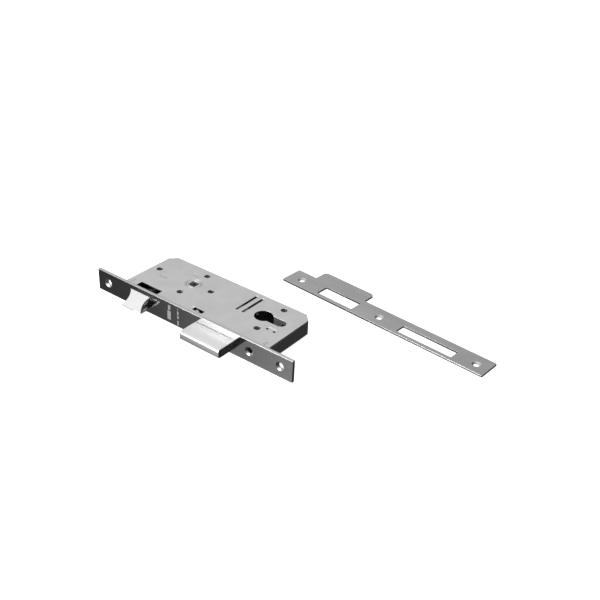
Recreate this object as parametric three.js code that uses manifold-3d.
// Mortise lock for a euro-profile cylinder, with its strike plate.
// The lock lies on its side: X runs along the forend (latch end -X, cylinder end +X),
// Y runs into the door, Z through the thickness of the case.
// The origin is the middle of the forend's front face. Millimetres, +Z up.

import * as THREE from 'three';
import { mergeVertices } from 'three/addons/utils/BufferGeometryUtils.js';
import Module from 'manifold-3d';

const wasm = await Module();
wasm.setup();

// ---------------------------------------------------------------- driving dimensions

const GAP = 0.3;                 // clearance between touching pieces
const SPINDLE_TO_CYLINDER = 85;  // centre distance
const BACKSET = 43.6;            // forend face to both centres
const SPINDLE_X = -34;
const CYLINDER_X = SPINDLE_X + SPINDLE_TO_CYLINDER;

const FOREND = { length: 235, width: 22, thickness: 3, screwX: 104, screwR: 2.6, sinkR: 4.3 };
const CYLINDER_SCREW = { x: CYLINDER_X + 19.2, holeR: 2.7, sinkR: 4.4 };

const CASE = { halfLength: 86.5, front: FOREND.thickness + GAP, back: 71.2, half: 7.5, sheet: 1 };
const INNER = CASE.half - CASE.sheet;      // inner half height
const STAND = INNER - GAP;                 // half height of what stands between the sheets
const CORNER = { latchX: 6.6, latchY: 7.1, cylinder: 7.6 };

const LATCH = { x: -61, width: 24.6, half: STAND, reach: 13, rear: 6.7 };
const BOLT = {
  x: 31.25, width: 45.5, half: 4.4, reach: 21.3, throw: 20, shoulder: 5, rear: 12, round: 2.6,
};

const SQUARE = 8.1;                        // follower hole, for an 8 mm spindle
const FOLLOWER = { bossR: 6.7, flangeR: 10, flangeHalf: 4.7, armHalf: 2.5 };
const BUSH = { outerR: 8.3, flangeR: 9.5, boreR: 7.0, inner: 5.0 };
const TURN = THREE.MathUtils.degToRad(20); // arm angle below level at rest, above at full turn

const PROFILE = { radius: 8.7, slot: 10, drop: 19.6 };   // euro-profile cut-out
const SLEEVE = { outerR: 4, boreR: 3.05 };
const TAB = 1.5;                           // thickness of the upright sheet pieces
const OPENING_ROOM = 0.8;                  // room round the latch and the bolt in the case's front wall

const STRIKE = {
  x: 5.7, y: 130.3, turnDegrees: -4.2,
  length: 232, width: 25.5, thickness: 2, top: -9,
  screws: [15.5, 112, 219], screwY: 11.95, screwR: 2.6, sinkR: 4.2, sinkOver: 0.2,
  lip: { x0: 22.5, x1: 84.5, y: 41, round: 4.5 },
  latchWindow: [42, 84.2, 4.3, 18.8],
  boltWindow: [137.3, 197, 4.6, 16],
};

// Centres of the six fixing sleeves: two by the handle, two by the cylinder,
// and one on either side of the spindle in line with it.
const SLEEVES = [
  [SPINDLE_X, BACKSET - 19], [SPINDLE_X, BACKSET + 19],
  [CYLINDER_X + 8.2, BACKSET - 19.4], [CYLINDER_X + 8.2, BACKSET + 19.4],
  [SPINDLE_X + 21.5, BACKSET], [SPINDLE_X - 44, BACKSET - 0.6],
];

// ---------------------------------------------------------------- finishes

const finishes = {
  caseSteel: [0xbdbdbd, 0.55, 0.6],
  forendSteel: [0x8a8a8a, 0.2, 1.0],
  boltSteel: [0xd8d8d8, 0.2, 1.0],
  latchZamak: [0xeeeeee, 0.25, 1.0],
  darkSteel: [0x4a4a4c, 0.5, 0.8],
  springSteel: [0x77777a, 0.35, 1.0],
  strikeSteel: [0xa4a4a4, 0.3, 1.0],
};

function material(finish) {
  const [color, roughness, metalness] = finishes[finish];
  return new THREE.MeshStandardMaterial({ color, roughness, metalness });
}

// ---------------------------------------------------------------- solids

// Turns a closed three.js geometry into a solid that can be cut and joined.
function solid(geometry) {
  const bare = geometry.clone();
  bare.deleteAttribute('normal');
  bare.deleteAttribute('uv');
  const merged = mergeVertices(bare, 1e-4);
  const mesh = new wasm.Mesh({
    numProp: 3,
    vertProperties: new Float32Array(merged.attributes.position.array),
    triVerts: new Uint32Array(merged.index.array),
  });
  return new wasm.Manifold(mesh);
}

function geometryOf(body) {
  const { vertProperties, triVerts } = body.getMesh();
  const geometry = new THREE.BufferGeometry();
  geometry.setAttribute('position', new THREE.BufferAttribute(new Float32Array(vertProperties), 3));
  geometry.setIndex(new THREE.BufferAttribute(new Uint32Array(triVerts), 1));
  geometry.computeVertexNormals();
  return geometry;
}

// A flat outline in X and Y raised from z0 to z1.
function plate(shape, z0, z1, curveSegments = 12) {
  const depth = z1 - z0;
  const geometry = new THREE.ExtrudeGeometry(shape, { depth, bevelEnabled: false, curveSegments });
  geometry.translate(0, 0, z0);
  return solid(geometry);
}

// An outline drawn in Y and Z, carried along X from x0 to x1.
function section(shape, x0, x1, curveSegments = 12) {
  const depth = x1 - x0;
  const geometry = new THREE.ExtrudeGeometry(shape, { depth, bevelEnabled: false, curveSegments });
  geometry.applyMatrix4(new THREE.Matrix4().set(0, 0, 1, x0, 1, 0, 0, 0, 0, 1, 0, 0, 0, 0, 0, 1));
  return solid(geometry);
}

function box(x0, x1, y0, y1, z0, z1) {
  const geometry = new THREE.BoxGeometry(x1 - x0, y1 - y0, z1 - z0);
  geometry.translate((x0 + x1) / 2, (y0 + y1) / 2, (z0 + z1) / 2);
  return solid(geometry);
}

// A round pin standing along Z.
function pin(x, y, radius, z0, z1, sides = 24) {
  const geometry = new THREE.CylinderGeometry(radius, radius, z1 - z0, sides);
  geometry.rotateX(Math.PI / 2);
  geometry.translate(x, y, (z0 + z1) / 2);
  return solid(geometry);
}

// A round rod or cone lying along Y; r0 is its radius at y0 and r1 at y1.
function rod(x, z, r0, r1, y0, y1, sides = 24) {
  const geometry = new THREE.CylinderGeometry(r1, r0, y1 - y0, sides);
  geometry.translate(x, (y0 + y1) / 2, z);
  return solid(geometry);
}

function polygon(points) {
  return new THREE.Shape(points.map(([x, y]) => new THREE.Vector2(x, y)));
}

function join(bodies) {
  return bodies.reduce((all, body) => all.add(body));
}

function cut(body, tools) {
  return tools.reduce((rest, tool) => rest.subtract(tool), body);
}

const lock = new THREE.Group();

function addPart(name, body, finish) {
  const mesh = new THREE.Mesh(geometryOf(body), material(finish));
  mesh.name = name;
  lock.add(mesh);
}

// ---------------------------------------------------------------- case

// The case outline, drawn in by the given inset. The far corner by the latch
// is a hollow curve and the one by the cylinder a straight chamfer.
function caseOutline(inset) {
  const left = -CASE.halfLength + inset;
  const right = CASE.halfLength - inset;
  const front = CASE.front + inset;
  const back = CASE.back - inset;
  const trim = inset * (2 - Math.SQRT2);
  const shape = new THREE.Shape();
  shape.moveTo(left, front);
  shape.lineTo(right, front);
  shape.lineTo(right, back - CORNER.cylinder + trim);
  shape.lineTo(right - CORNER.cylinder + trim, back);
  shape.lineTo(left + CORNER.latchX - trim, back);
  shape.quadraticCurveTo(left + CORNER.latchX * 0.58, back - CORNER.latchY * 0.6,
    left, back - CORNER.latchY + trim);
  shape.closePath();
  return shape;
}

// The euro-profile cut-out: a round hole and a slot towards the cylinder end.
function euroProfile(z0, z1) {
  const { radius, slot, drop } = PROFILE;
  return join([
    pin(CYLINDER_X, BACKSET, radius, z0, z1, 48),
    box(CYLINDER_X, CYLINDER_X + drop, BACKSET - slot / 2, BACKSET + slot / 2, z0, z1),
    pin(CYLINDER_X + drop, BACKSET, slot / 2, z0, z1),
  ]);
}

// The holes that go through both sheets of the case.
function throughHoles(z0, z1) {
  return [
    ...SLEEVES.map(([x, y]) => pin(x, y, SLEEVE.boreR, z0, z1)),
    pin(SPINDLE_X, BACKSET, BUSH.outerR + GAP, z0, z1, 48),
    euroProfile(z0, z1),
  ];
}

// Upright sheet pieces between the two case sheets. Each has a tongue that comes up
// through a slot of the cover. along says which way the sheet runs.
const UPRIGHTS = {
  latch_guide: { along: 'x', from: -70, to: -55.4, at: 34.9, tongue: [-69.4, -61] },
  case_spacer_back: { along: 'x', from: -48.2, to: -39.2, at: 56.4, tongue: [-47.5, -39.9] },
  cylinder_screw_guide: { along: 'x', from: 64.6, to: 76.6, at: 32, tongue: [65.9, 75.5] },
  case_spacer_latch: { along: 'y', from: 8, to: 15.6, at: -81, tongue: [9.2, 14.4] },
  case_spacer_cylinder: { along: 'y', from: 7.4, to: 15, at: 79.8, tongue: [8.6, 13.8] },
};

function uprightBox({ along, at }, [from, to], grow, z0, z1) {
  const half = TAB / 2 + grow;
  if (along === 'x') return box(from - grow, to + grow, at - half, at + half, z0, z1);
  return box(at - half, at + half, from - grow, to + grow, z0, z1);
}

function uprightPiece(piece) {
  return join([
    uprightBox(piece, [piece.from, piece.to], 0, -STAND, STAND),
    uprightBox(piece, piece.tongue, 0, 0, CASE.half),
  ]);
}

const LATCH_WINDOW = { x0: -73, x1: -46.4, y0: 6.9, y1: 14.2 };
const BOLT_SLOTS = { xs: [25.4, 32.6], half: 1, y0: 36.8, y1: 64.5 };
const HOOK_SLOT = { x0: -8, x1: 7, y0: 9.4, y1: 13.8 };
const HOOK = { x: 0.9, half: 1.7, y0: 9.75, sheet: 1.3, foot: 3.2 };

function caseCover() {
  const z0 = INNER;
  const z1 = CASE.half;
  const slots = BOLT_SLOTS.xs.map((x) => join([
    box(x - BOLT_SLOTS.half, x + BOLT_SLOTS.half, BOLT_SLOTS.y0, BOLT_SLOTS.y1, z0 - 1, z1 + 1),
    pin(x, BOLT_SLOTS.y0, BOLT_SLOTS.half, z0 - 1, z1 + 1, 16),
    pin(x, BOLT_SLOTS.y1, BOLT_SLOTS.half, z0 - 1, z1 + 1, 16),
  ]));
  const tongues = Object.values(UPRIGHTS).map((u) => uprightBox(u, u.tongue, GAP, z0 - 1, z1 + 1));
  const { x0, x1, y0, y1 } = LATCH_WINDOW;
  return cut(plate(caseOutline(0), z0, z1), [
    ...throughHoles(z0 - 1, z1 + 1),
    ...slots,
    ...tongues,
    box(x0, x1, y0, y1, z0 - 1, z1 + 1),
    box(HOOK_SLOT.x0, HOOK_SLOT.x1, HOOK_SLOT.y0, HOOK_SLOT.y1, z0 - 1, z1 + 1),
  ]);
}

// The tray: one sheet with its edges folded up, open in front of the latch and the bolt.
// A hook rises from its front wall into the cover's slot.
function caseBody() {
  const top = STAND;
  const tray = plate(caseOutline(0), -CASE.half, top);
  const hollow = plate(caseOutline(CASE.sheet), -INNER, top + 1);
  const latchHalf = LATCH.width / 2 + OPENING_ROOM;
  const boltHalf = BOLT.width / 2 + OPENING_ROOM;
  const y0 = CASE.front - 1;
  const y1 = CASE.front + CASE.sheet + 1;
  const shell = cut(tray, [
    hollow,
    ...throughHoles(-CASE.half - 1, -INNER + 1),
    box(LATCH.x - latchHalf, LATCH.x + latchHalf, y0, y1, -INNER, top + 1),
    box(BOLT.x - boltHalf, BOLT.x + boltHalf, y0, y1, -INNER, top + 1),
    rod(CYLINDER_SCREW.x, 0, CYLINDER_SCREW.holeR, CYLINDER_SCREW.holeR, y0, y1),
  ]);
  const hookX = [HOOK.x - HOOK.half, HOOK.x + HOOK.half];
  const hookEnd = HOOK.y0 + HOOK.sheet;
  const hook = join([
    box(...hookX, CASE.front, hookEnd, HOOK.foot, HOOK.foot + HOOK.sheet),
    box(...hookX, HOOK.y0, hookEnd, HOOK.foot, CASE.half),
  ]);
  return shell.add(hook);
}

function forend() {
  const { length, width, thickness, screwX, screwR, sinkR } = FOREND;
  const y0 = -1;
  const y1 = thickness + 1;
  const countersunk = (x, holeR, headR) => join([
    rod(x, 0, holeR, holeR, y0, y1),
    rod(x, 0, headR + 1, holeR, -1, headR - holeR),
  ]);
  const latchHalf = LATCH.width / 2 + GAP;
  const boltHalf = BOLT.width / 2 + GAP;
  return cut(box(-length / 2, length / 2, 0, thickness, -width / 2, width / 2), [
    countersunk(-screwX, screwR, sinkR),
    countersunk(screwX, screwR, sinkR),
    countersunk(CYLINDER_SCREW.x, CYLINDER_SCREW.holeR, CYLINDER_SCREW.sinkR),
    box(LATCH.x - latchHalf, LATCH.x + latchHalf, y0, y1, -LATCH.half - GAP, LATCH.half + GAP),
    box(BOLT.x - boltHalf, BOLT.x + boltHalf, y0, y1, -BOLT.half - GAP, BOLT.half + GAP),
  ]);
}

function cylinderScrewGuide() {
  const { at } = UPRIGHTS.cylinder_screw_guide;
  return uprightPiece(UPRIGHTS.cylinder_screw_guide)
    .subtract(rod(CYLINDER_SCREW.x, 0, CRADLE.screwR, CRADLE.screwR, at - TAB, at + TAB));
}

function fixingSleeve([x, y]) {
  return pin(x, y, SLEEVE.outerR, -STAND, STAND).subtract(pin(x, y, SLEEVE.boreR, -INNER, INNER));
}

const CRADLE = { arm: 12, sheet: 1, screwR: 3 };

// A U of sheet that takes the lower part of the cylinder, drilled for its fixing screw.
function cylinderCradle() {
  const inner = PROFILE.slot / 2 + GAP;
  const outer = inner + CRADLE.sheet;
  const endX = CYLINDER_X + PROFILE.drop;
  const startX = endX - CRADLE.arm;
  const body = (radius) => join([
    pin(endX, BACKSET, radius, -STAND, STAND, 40),
    box(startX, endX, BACKSET - radius, BACKSET + radius, -STAND, STAND),
  ]);
  return cut(body(outer), [
    pin(endX, BACKSET, inner, -INNER, INNER, 40),
    box(startX - 1, endX, BACKSET - inner, BACKSET + inner, -INNER, INNER),
    rod(CYLINDER_SCREW.x, 0, CRADLE.screwR, CRADLE.screwR, BACKSET - outer - 1, BACKSET + outer + 1),
  ]);
}

// ---------------------------------------------------------------- latch

const TAIL = { start: 4.3, end: 46, radius: 2, collarY: 12.3, collarR: 4.4, lugY: 39.45, lug: 3 };
const TAIL_BORE = TAIL.radius + GAP;
const LATCH_HEAD = {
  sole: 1.2, web: 3.2, neckHalf: 5, neckEnd: 12, neckHeight: 3.2, boreFrom: 4,
  ramp: 1.8, pocketTop: 3.6, waist: 2.7,
};

// The head: a flat ramp, waisted along its two edges, over a thin sole of the full width.
// Each flank is hollow between them, and a neck behind takes the tail.
function latchHead() {
  const { x, width, half, reach, rear } = LATCH;
  const { web, neckHalf, neckEnd, neckHeight, boreFrom, ramp, pocketTop, waist } = LATCH_HEAD;
  const sole = -half + LATCH_HEAD.sole;
  const x0 = x - width / 2;
  const x1 = x + width / 2;
  const foot = new THREE.Vector2(-reach + 0.5, sole + 0.2);
  const crest = new THREE.Vector2(0, half);

  const side = new THREE.Shape();
  side.moveTo(rear, -half);
  side.lineTo(rear, half);
  side.lineTo(crest.x, crest.y);
  side.lineTo(foot.x, foot.y);
  side.quadraticCurveTo(-reach, sole - 0.2, -reach, sole - 0.6);
  side.lineTo(-reach + 0.4, -half);
  side.closePath();

  // The pocket's front wall is the ramp's underside, its own thickness below the ramp.
  const slope = crest.clone().sub(foot);
  const under = slope.clone().normalize();
  const wall = (z) => crest.x + under.y * ramp + (z - crest.y + under.x * ramp) * (slope.x / slope.y);
  const back = rear - 3.1;
  const pocket = polygon([
    [back, sole], [back, pocketTop], [wall(pocketTop), pocketTop], [wall(sole), sole],
  ]);

  // The waist: a drum square to the ramp that takes a shallow bow out of each edge.
  const chord = slope.length();
  const drumR = (chord * chord / 4 + waist * waist) / (2 * waist);
  const drum = (middleX) => {
    const geometry = new THREE.CylinderGeometry(drumR, drumR, 3 * ramp, 96);
    geometry.rotateX(Math.PI / 2 + Math.atan2(slope.y, slope.x));
    geometry.translate(middleX, (crest.x + foot.x) / 2, (crest.y + foot.y) / 2);
    return solid(geometry).intersect(box(x0 - 40, x1 + 40, -reach - 5, rear, sole, half + 5));
  };

  const head = join([
    section(side, x0, x1, 20),
    box(x - neckHalf, x + neckHalf, rear - 1, neckEnd, -neckHeight, neckHeight),
  ]);
  return cut(head, [
    section(pocket, x0 - 1, x - web),
    section(pocket, x + web, x1 + 1),
    drum(x0 + waist - drumR),
    drum(x1 - waist + drumR),
    rod(x, 0, TAIL_BORE, TAIL_BORE, boreFrom, neckEnd + 1),
  ]);
}

// The tail: a rod with a spring collar, and behind the guide a lug for the follower's arm.
function latchTail() {
  const { start, end, radius, collarY, collarR, lugY, lug } = TAIL;
  return join([
    rod(LATCH.x, 0, radius, radius, start, end),
    rod(LATCH.x, 0, collarR, collarR, collarY, collarY + 1),
    box(LATCH.x - lug, SPINDLE_X - 16.3, lugY, lugY + lug, -FOLLOWER.armHalf, FOLLOWER.armHalf),
  ]);
}

function latchGuide() {
  const { at } = UPRIGHTS.latch_guide;
  return uprightPiece(UPRIGHTS.latch_guide)
    .subtract(rod(LATCH.x, 0, TAIL_BORE, TAIL_BORE, at - TAB, at + TAB));
}

// ---------------------------------------------------------------- springs

// A helix along Y between y0 and y1, closed with flat ends.
class Helix extends THREE.Curve {
  constructor(x, z, radius, y0, y1, turns) {
    super();
    Object.assign(this, { x, z, radius, y0, y1, turns });
  }

  getPoint(t) {
    const angle = t * this.turns * 2 * Math.PI;
    return new THREE.Vector3(
      this.x + this.radius * Math.cos(angle),
      this.y0 + t * (this.y1 - this.y0),
      this.z + this.radius * Math.sin(angle),
    );
  }
}

function ring(radius, sides) {
  const step = (2 * Math.PI) / sides;
  const corner = (_, i) => [radius * Math.cos(i * step), radius * Math.sin(i * step)];
  return polygon(Array.from({ length: sides }, corner));
}

function wire(curve, radius, steps) {
  const drawn = { extrudePath: curve, steps, bevelEnabled: false };
  return solid(new THREE.ExtrudeGeometry(ring(radius, 6), drawn));
}

function compressionSpring(x, radius, wireR, y0, y1, turns) {
  return wire(new Helix(x, 0, radius, y0 + wireR, y1 - wireR, turns), wireR, turns * 10);
}

// Pushes the latch out, from the guide against the tail's collar.
function latchSpring() {
  return compressionSpring(LATCH.x, 3.1, 0.4, TAIL.collarY + 1.2, 34, 7);
}

// Turns the follower back, from its seat against the shorter arm.
function followerSpring() {
  return compressionSpring(SEAT.x, 2.3, 0.35, SEAT.y + TAB + 0.1, 45.3, 8);
}

// ---------------------------------------------------------------- follower

const ARM = { length: 19, tipR: 2, waist: 3.2 };
const SPRING_ARM = { length: 14, tipR: 2, waist: 3.2 };

// One arm from the spindle axis, at an angle measured from +X.
function followerArm({ length, tipR, waist }, angle) {
  const half = FOLLOWER.armHalf;
  const bar = new THREE.BoxGeometry(length, waist, 2 * half);
  bar.translate(length / 2, 0, 0);
  bar.rotateZ(angle);
  bar.translate(SPINDLE_X, BACKSET, 0);
  const tipX = SPINDLE_X + length * Math.cos(angle);
  const tipY = BACKSET + length * Math.sin(angle);
  const tip = pin(tipX, tipY, tipR, -half, half, 24);
  return solid(bar).add(tip);
}

function follower() {
  const { bossR, flangeR, flangeHalf } = FOLLOWER;
  const hub = join([
    pin(SPINDLE_X, BACKSET, bossR, -CASE.half, CASE.half, 48),
    pin(SPINDLE_X, BACKSET, flangeR, -flangeHalf, flangeHalf, 48),
    followerArm(ARM, Math.PI + TURN),
    followerArm(SPRING_ARM, TURN),
  ]);
  const s = SQUARE / 2;
  return hub.subtract(box(SPINDLE_X - s, SPINDLE_X + s, BACKSET - s, BACKSET + s, -9, 9));
}

// A flanged bush in each case sheet; side is +1 for the cover and -1 for the tray.
function followerBush(side) {
  const z = (from, to) => (side > 0 ? [from, to] : [-to, -from]);
  return join([
    pin(SPINDLE_X, BACKSET, BUSH.flangeR, ...z(BUSH.inner, STAND), 48),
    pin(SPINDLE_X, BACKSET, BUSH.outerR, ...z(BUSH.inner, CASE.half), 48),
  ]).subtract(pin(SPINDLE_X, BACKSET, BUSH.boreR, ...z(BUSH.inner - 1, CASE.half + 1), 48));
}

const SEAT = { x: -21.4, y: 22, half: 4, foot: 7, top: 4, spigotR: 1.5, spigotLength: 7 };

// The foot of the follower's return spring: an angle on the tray with a spigot.
function springSeat() {
  const { x, y, half, foot, top, spigotR, spigotLength } = SEAT;
  return join([
    box(x - half, x + half, y - foot, y + TAB, -STAND, -STAND + TAB),
    box(x - half, x + half, y, y + TAB, -STAND, top),
    rod(x, 0, spigotR, spigotR, y + 1, y + TAB + spigotLength),
  ]);
}

// ---------------------------------------------------------------- deadbolt

function deadboltHead() {
  const { x, width, half, reach, shoulder, rear, round } = BOLT;
  const side = new THREE.Shape();
  side.moveTo(-reach, -half + round);
  side.quadraticCurveTo(-reach, -half, -reach + round, -half);
  side.lineTo(rear, -half);
  side.lineTo(rear, BOLT_TAIL.z0 - GAP);
  side.lineTo(shoulder, BOLT_TAIL.z0 - GAP);
  side.lineTo(shoulder, half);
  side.lineTo(-reach + round, half);
  side.quadraticCurveTo(-reach, half, -reach, half - round);
  side.closePath();
  const { y, shankR, foot } = RIVET;
  const sockets = RIVETS.map((rivetX) => pin(rivetX, y, shankR + GAP, foot - GAP, half));
  return cut(section(side, x - width / 2, x + width / 2), sockets);
}

const BOLT_TAIL = {
  z0: 3.4, z1: 5.2, front: 5.4, end: 49.5, lugHalf: 0.6, lugY0: 37.1, lugY1: 44.2, lugTop: 6.9,
};
const RIVET = { y: 8.7, shankR: 2, foot: -2.4, headR: 3.4, headTop: 6.2 };
const RIVETS = [17, 42];
const GUIDE_PIN = { x: 35.5, y: 34.5, radius: 2, slotR: 2.3 };
const STUMP = { x: 30, y: 38, radius: 2.5, foot: -0.5, spigotX: 29.6, spigotR: 1.2, spigotFoot: 2 };

// The tail plate, riveted on the head. Two ears stand in the cover's slots
// and a slot of its own runs on the guide pin.
function deadboltTail() {
  const { z0, z1, front, end, lugHalf, lugY0, lugY1, lugTop } = BOLT_TAIL;
  const outline = polygon([
    [12.5, front], [46.5, front], [46.5, 12.2], [40.2, 16], [40.2, end - 3],
    [37.2, end], [15.5, end], [12.5, end - 3],
  ]);
  const slotTop = GUIDE_PIN.y;
  const slotFoot = GUIDE_PIN.y - BOLT.throw;
  const body = join([
    plate(outline, z0, z1),
    ...BOLT_SLOTS.xs.map((x) => box(x - lugHalf, x + lugHalf, lugY0, lugY1, z0 + 0.5, lugTop)),
  ]);
  return cut(body, [
    ...RIVETS.map((x) => pin(x, RIVET.y, RIVET.shankR + GAP, z0 - 1, z1 + 1)),
    pin(GUIDE_PIN.x, slotTop, GUIDE_PIN.slotR, z0 - 1, z1 + 1, 24),
    pin(GUIDE_PIN.x, slotFoot, GUIDE_PIN.slotR, z0 - 1, z1 + 1, 24),
    box(GUIDE_PIN.x - GUIDE_PIN.slotR, GUIDE_PIN.x + GUIDE_PIN.slotR, slotFoot, slotTop, z0 - 1, z1 + 1),
    pin(STUMP.spigotX, STUMP.y, STUMP.spigotR + GAP, z0 - 1, z1 + 1, 24),
  ]);
}

function deadboltRivet(x) {
  return join([
    pin(x, RIVET.y, RIVET.shankR, RIVET.foot, RIVET.headTop, 24),
    pin(x, RIVET.y, RIVET.headR, BOLT_TAIL.z1 + GAP, RIVET.headTop, 32),
  ]);
}

// The stump that the tumbler blocks, hanging from the tail plate.
function boltStump() {
  return join([
    pin(STUMP.x, STUMP.y, STUMP.radius, STUMP.foot, BOLT_TAIL.z0 - GAP),
    pin(STUMP.spigotX, STUMP.y, STUMP.spigotR, STUMP.spigotFoot, BOLT_TAIL.z1, 24),
  ]);
}

function boltGuidePin() {
  return pin(GUIDE_PIN.x, GUIDE_PIN.y, GUIDE_PIN.radius, -STAND, STAND, 24);
}

// ---------------------------------------------------------------- tumbler

const TUMBLER = { x: 24, y: 65, bossR: 4.4, pivotR: 2.2, z0: -0.5, z1: 2.4, hookY: 44, hookX: 28.9 };

// The tumbler: a pivoted plate whose hook stands behind the stump, and below it
// a foot that reaches the sweep of the cylinder's cam.
function tumbler() {
  const { x, y, bossR, pivotR, z0, z1, hookY, hookX } = TUMBLER;
  const leverOutline = polygon([
    [x - 4, y], [x - 4, hookY + 1.5], [x - 2.5, hookY], [hookX, hookY],
    [hookX, hookY + 2.5], [x + 3, hookY + 6], [x + 3, y],
  ]);
  const footOutline = polygon([
    [x - 3, 60], [x - 3, 50], [x + 4, 49.6], [x + 14.4, 50.6],
    [x + 14.6, 53.4], [x + 4, 56], [x + 2, 60],
  ]);
  return cut(join([
    plate(leverOutline, z0, z1),
    pin(x, y, bossR, z0, z1),
    plate(footOutline, z0 - 3, z0 - GAP),
    box(x - 2.5, x + 2, 51, 58, z0 - 1, z0 + 1),
  ]), [pin(x, y, pivotR + GAP, z0 - 4, z1 + 1)]);
}

function tumblerPivot() {
  return pin(TUMBLER.x, TUMBLER.y, TUMBLER.pivotR, -STAND, BOLT_TAIL.z0 - GAP);
}

const TUMBLER_SPRING = {
  coilR: 3.2, foot: -5.6, rise: 1.5, turns: 2, stations: 24, legX: 10, wireR: 0.35,
};

// A torsion spring round the tumbler's pivot: one leg rests on the case end,
// the other presses on the tumbler's edge.
function tumblerSpring() {
  const { coilR, foot, rise, turns, stations, legX, wireR } = TUMBLER_SPRING;
  const { x, y } = TUMBLER;
  const coil = Array.from({ length: stations + 1 }, (_, i) => {
    const angle = Math.PI / 2 + (i / stations) * turns * 2 * Math.PI;
    const height = foot + rise * (i / stations);
    return new THREE.Vector3(x + coilR * Math.cos(angle), y + coilR * Math.sin(angle), height);
  });
  const press = [
    new THREE.Vector3(x - 7, y + 1, foot + 1.9), new THREE.Vector3(x - 6.4, 55, foot + 3.5),
    new THREE.Vector3(x - 5, 50, foot + 6), new THREE.Vector3(x - 4.8, 47, foot + 6.6),
  ];
  const lead = new THREE.Vector3(legX, y + coilR, foot);
  return wire(new THREE.CatmullRomCurve3([lead, ...coil, ...press]), wireR, 76);
}

// ---------------------------------------------------------------- strike plate

// The strike plate is drawn from its near left corner, length along X, and then turned
// into its place beside the lock. A rounded lip stands out on its far edge.
function strikePlate() {
  const { length, width, thickness, top, screws, screwY, screwR, sinkR, sinkOver, lip } = STRIKE;
  const outline = new THREE.Shape();
  outline.moveTo(0, 0);
  outline.lineTo(length, 0);
  outline.lineTo(length, width);
  outline.lineTo(lip.x1, width);
  outline.lineTo(lip.x1, lip.y - lip.round);
  outline.quadraticCurveTo(lip.x1, lip.y, lip.x1 - lip.round, lip.y);
  outline.lineTo(lip.x0 + lip.round, lip.y);
  outline.quadraticCurveTo(lip.x0, lip.y, lip.x0, lip.y - lip.round);
  outline.lineTo(lip.x0, width);
  outline.lineTo(0, width);
  outline.closePath();

  const z0 = top - thickness;
  const sinkDepth = sinkR - screwR + sinkOver;
  const countersunk = (x) => {
    const sink = new THREE.CylinderGeometry(sinkR + sinkOver, screwR, sinkDepth, 32);
    sink.rotateX(Math.PI / 2);
    sink.translate(x, screwY, top + sinkOver - sinkDepth / 2);
    return pin(x, screwY, screwR, z0 - 1, top + 1).add(solid(sink));
  };
  const flat = cut(plate(outline, z0, top), [
    ...screws.map(countersunk),
    box(...STRIKE.latchWindow, z0 - 1, top + 1),
    box(...STRIKE.boltWindow, z0 - 1, top + 1),
  ]);
  return flat.rotate([0, 0, STRIKE.turnDegrees]).translate([STRIKE.x, STRIKE.y, 0]);
}

// ---------------------------------------------------------------- the assembly

addPart('forend', forend(), 'forendSteel');
addPart('case_body', caseBody(), 'caseSteel');
addPart('case_cover', caseCover(), 'caseSteel');
SLEEVES.forEach((place, i) => addPart(`fixing_sleeve_${i + 1}`, fixingSleeve(place), 'darkSteel'));
addPart('latch_guide', latchGuide(), 'caseSteel');
addPart('case_spacer_back', uprightPiece(UPRIGHTS.case_spacer_back), 'caseSteel');
addPart('case_spacer_latch', uprightPiece(UPRIGHTS.case_spacer_latch), 'caseSteel');
addPart('case_spacer_cylinder', uprightPiece(UPRIGHTS.case_spacer_cylinder), 'caseSteel');
addPart('cylinder_screw_guide', cylinderScrewGuide(), 'caseSteel');
addPart('cylinder_cradle', cylinderCradle(), 'caseSteel');
addPart('follower_bush_top', followerBush(1), 'caseSteel');
addPart('follower_bush_bottom', followerBush(-1), 'caseSteel');
addPart('follower_spring_seat', springSeat(), 'darkSteel');
addPart('bolt_guide_pin', boltGuidePin(), 'darkSteel');
addPart('tumbler_pivot', tumblerPivot(), 'darkSteel');

addPart('latch_head', latchHead(), 'latchZamak');
addPart('latch_tail', latchTail(), 'darkSteel');
addPart('latch_spring', latchSpring(), 'springSteel');

addPart('follower', follower(), 'caseSteel');
addPart('follower_spring', followerSpring(), 'springSteel');

addPart('deadbolt_head', deadboltHead(), 'boltSteel');
addPart('deadbolt_tail', deadboltTail(), 'darkSteel');
addPart('deadbolt_stump', boltStump(), 'darkSteel');
RIVETS.forEach((x, i) => addPart(`deadbolt_rivet_${i + 1}`, deadboltRivet(x), 'darkSteel'));

addPart('tumbler', tumbler(), 'darkSteel');
addPart('tumbler_spring', tumblerSpring(), 'springSteel');

addPart('strike_plate', strikePlate(), 'strikeSteel');

export default lock;
